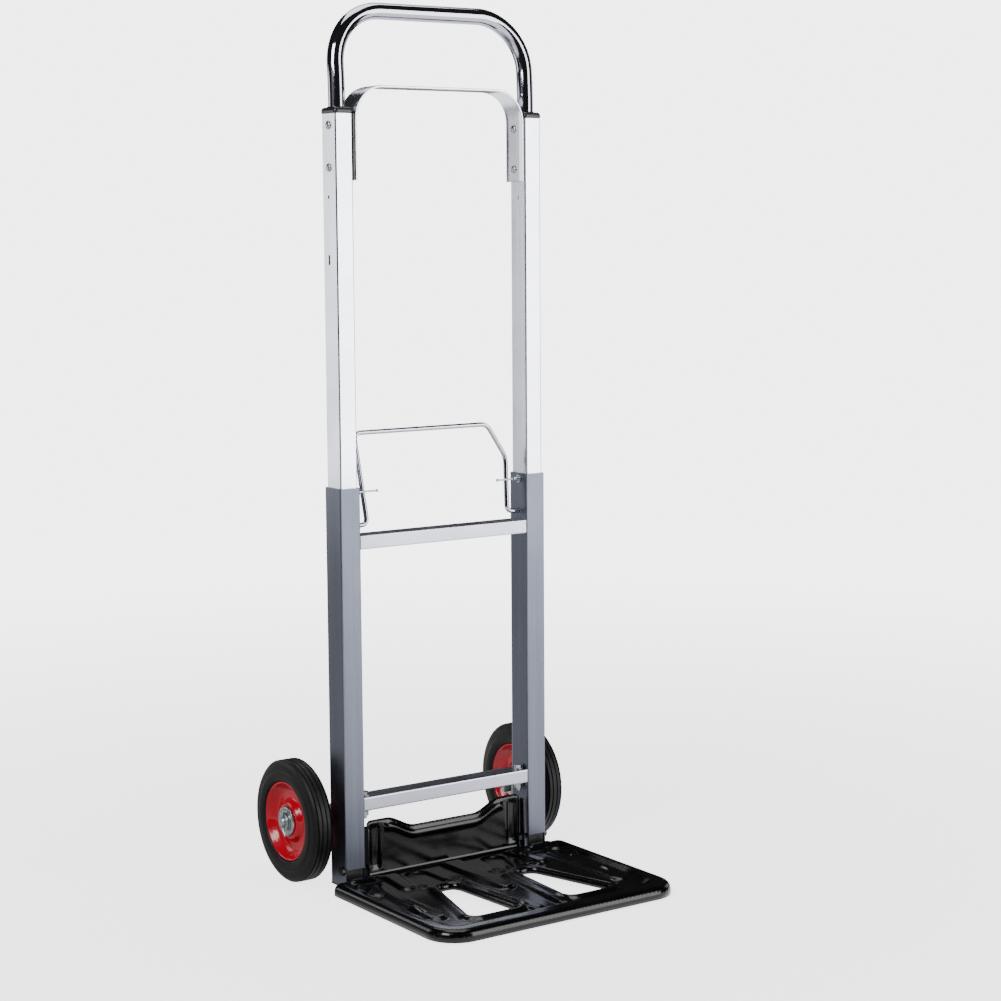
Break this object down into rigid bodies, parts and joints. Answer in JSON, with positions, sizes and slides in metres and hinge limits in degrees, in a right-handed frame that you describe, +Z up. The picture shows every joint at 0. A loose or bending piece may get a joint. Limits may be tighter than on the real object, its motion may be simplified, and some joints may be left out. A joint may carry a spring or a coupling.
{
  "type": "folding hand truck",
  "caption": "Folding two-wheel hand truck with a telescoping aluminium frame, chrome handle loop, wire release bail and a folding steel toe plate.",
  "frame": {"origin": "bottom centre of the bounding box, on the surface that the wheels and the toe plate stand on", "axes": "+Z up along the rails; -Y towards the toe plate's front edge; +X is the right-hand side when facing the truck from the toe plate"},
  "size_m": [0.39, 0.419, 1.0829],
  "materials": {
    "satin_aluminium": "satin anodised",
    "bright_aluminium": "brushed",
    "chrome": "polished",
    "zinc": "zinc plated",
    "black_enamel": "gloss",
    "black_plastic": "satin",
    "black_rubber": "matte",
    "red_paint": "gloss"
  },
  "bodies": {
    "lower_frame": {"lower_crossbar": "satin_aluminium", "upper_crossbar": "satin_aluminium", "lower_rail_left": "satin_aluminium", "rail_foot_left": "black_plastic", "toe_hinge_bolt_left": "zinc", "toe_hinge_nut_left": "zinc", "pivot_bracket_left": "zinc", "bracket_bolt_left": "zinc", "bracket_nut_left": "zinc", "swing_pin_left": "zinc", "latch_guide_left": "zinc", "lower_rail_right": "satin_aluminium", "rail_foot_right": "black_plastic", "toe_hinge_bolt_right": "zinc", "toe_hinge_nut_right": "zinc", "pivot_bracket_right": "zinc", "bracket_bolt_right": "zinc", "bracket_nut_right": "zinc", "swing_pin_right": "zinc", "latch_guide_right": "zinc"},
    "toe_plate": {"toe_plate": "black_enamel"},
    "handle": {"handle_loop": "chrome", "brace_strap": "satin_aluminium", "sliding_tube_left": "bright_aluminium", "slide_block_left": "black_plastic", "tube_cap_left": "black_plastic", "strap_spacer_left": "black_plastic", "strap_rivet_lower_left": "zinc", "strap_rivet_upper_left": "zinc", "sliding_tube_right": "bright_aluminium", "slide_block_right": "black_plastic", "tube_cap_right": "black_plastic", "strap_spacer_right": "black_plastic", "strap_rivet_lower_right": "zinc", "strap_rivet_upper_right": "zinc"},
    "release_bail": {"release_bail": "chrome"},
    "swing_bracket_left": {"swing_bracket_left": "zinc", "axle_left": "zinc", "axle_nut_left": "zinc", "axle_washer_left": "zinc", "cotter_pin_left": "zinc"},
    "wheel_left": {"tyre_left": "black_rubber", "rim_outer_left": "red_paint", "rim_inner_left": "red_paint", "hub_left": "zinc"},
    "latch_pin_left": {"latch_pin_left": "zinc"},
    "swing_bracket_right": {"swing_bracket_right": "zinc", "axle_right": "zinc", "axle_nut_right": "zinc", "axle_washer_right": "zinc", "cotter_pin_right": "zinc"},
    "wheel_right": {"tyre_right": "black_rubber", "rim_outer_right": "red_paint", "rim_inner_right": "red_paint", "hub_right": "zinc"},
    "latch_pin_right": {"latch_pin_right": "zinc"}
  },
  "joints": [
    {"name": "toe_fold", "type": "hinge", "parent": "lower_frame", "child": "toe_plate", "pos_m": [0, 0.0535, 0.025], "axis": [-1, 0, 0], "range_deg": [0, 90]},
    {"name": "handle_slide", "type": "slide", "parent": "lower_frame", "child": "handle", "axis": [0, 0, -1], "range_m": [0, 0.357]},
    {"name": "bail_tilt", "type": "hinge", "parent": "lower_frame", "child": "release_bail", "pos_m": [0, 0.06275, 0.452], "axis": [-1, 0, 0], "range_deg": [0, 35], "stiffness_Nm_per_rad": 0.5, "springref_deg": -8.59},
    {"name": "wheel_fold_left", "type": "hinge", "parent": "lower_frame", "child": "swing_bracket_left", "pos_m": [-0.138, 0.094, 0.077], "axis": [0, 0, -1], "range_deg": [0, 90]},
    {"name": "wheel_spin_left", "type": "hinge", "parent": "swing_bracket_left", "child": "wheel_left", "pos_m": [-0.175, 0.1325, 0.077], "axis": [1, 0, 0], "continuous": true},
    {"name": "latch_left", "type": "slide", "parent": "lower_frame", "child": "latch_pin_left", "axis": [1, 0, 0], "range_m": [0, 0.0055]},
    {"name": "wheel_fold_right", "type": "hinge", "parent": "lower_frame", "child": "swing_bracket_right", "pos_m": [0.138, 0.094, 0.077], "axis": [0, 0, 1], "range_deg": [0, 90]},
    {"name": "wheel_spin_right", "type": "hinge", "parent": "swing_bracket_right", "child": "wheel_right", "pos_m": [0.175, 0.1325, 0.077], "axis": [1, 0, 0], "continuous": true},
    {"name": "latch_right", "type": "slide", "parent": "lower_frame", "child": "latch_pin_right", "axis": [-1, 0, 0], "range_m": [0, 0.0055]}
  ],
  "couplings": [
    {"joint": "wheel_fold_left", "follows": "toe_fold", "ratio": 1},
    {"joint": "latch_left", "follows": "bail_tilt", "m_per_rad": 0.0082},
    {"joint": "wheel_fold_right", "follows": "toe_fold", "ratio": 1},
    {"joint": "latch_right", "follows": "bail_tilt", "m_per_rad": 0.0082}
  ]
}
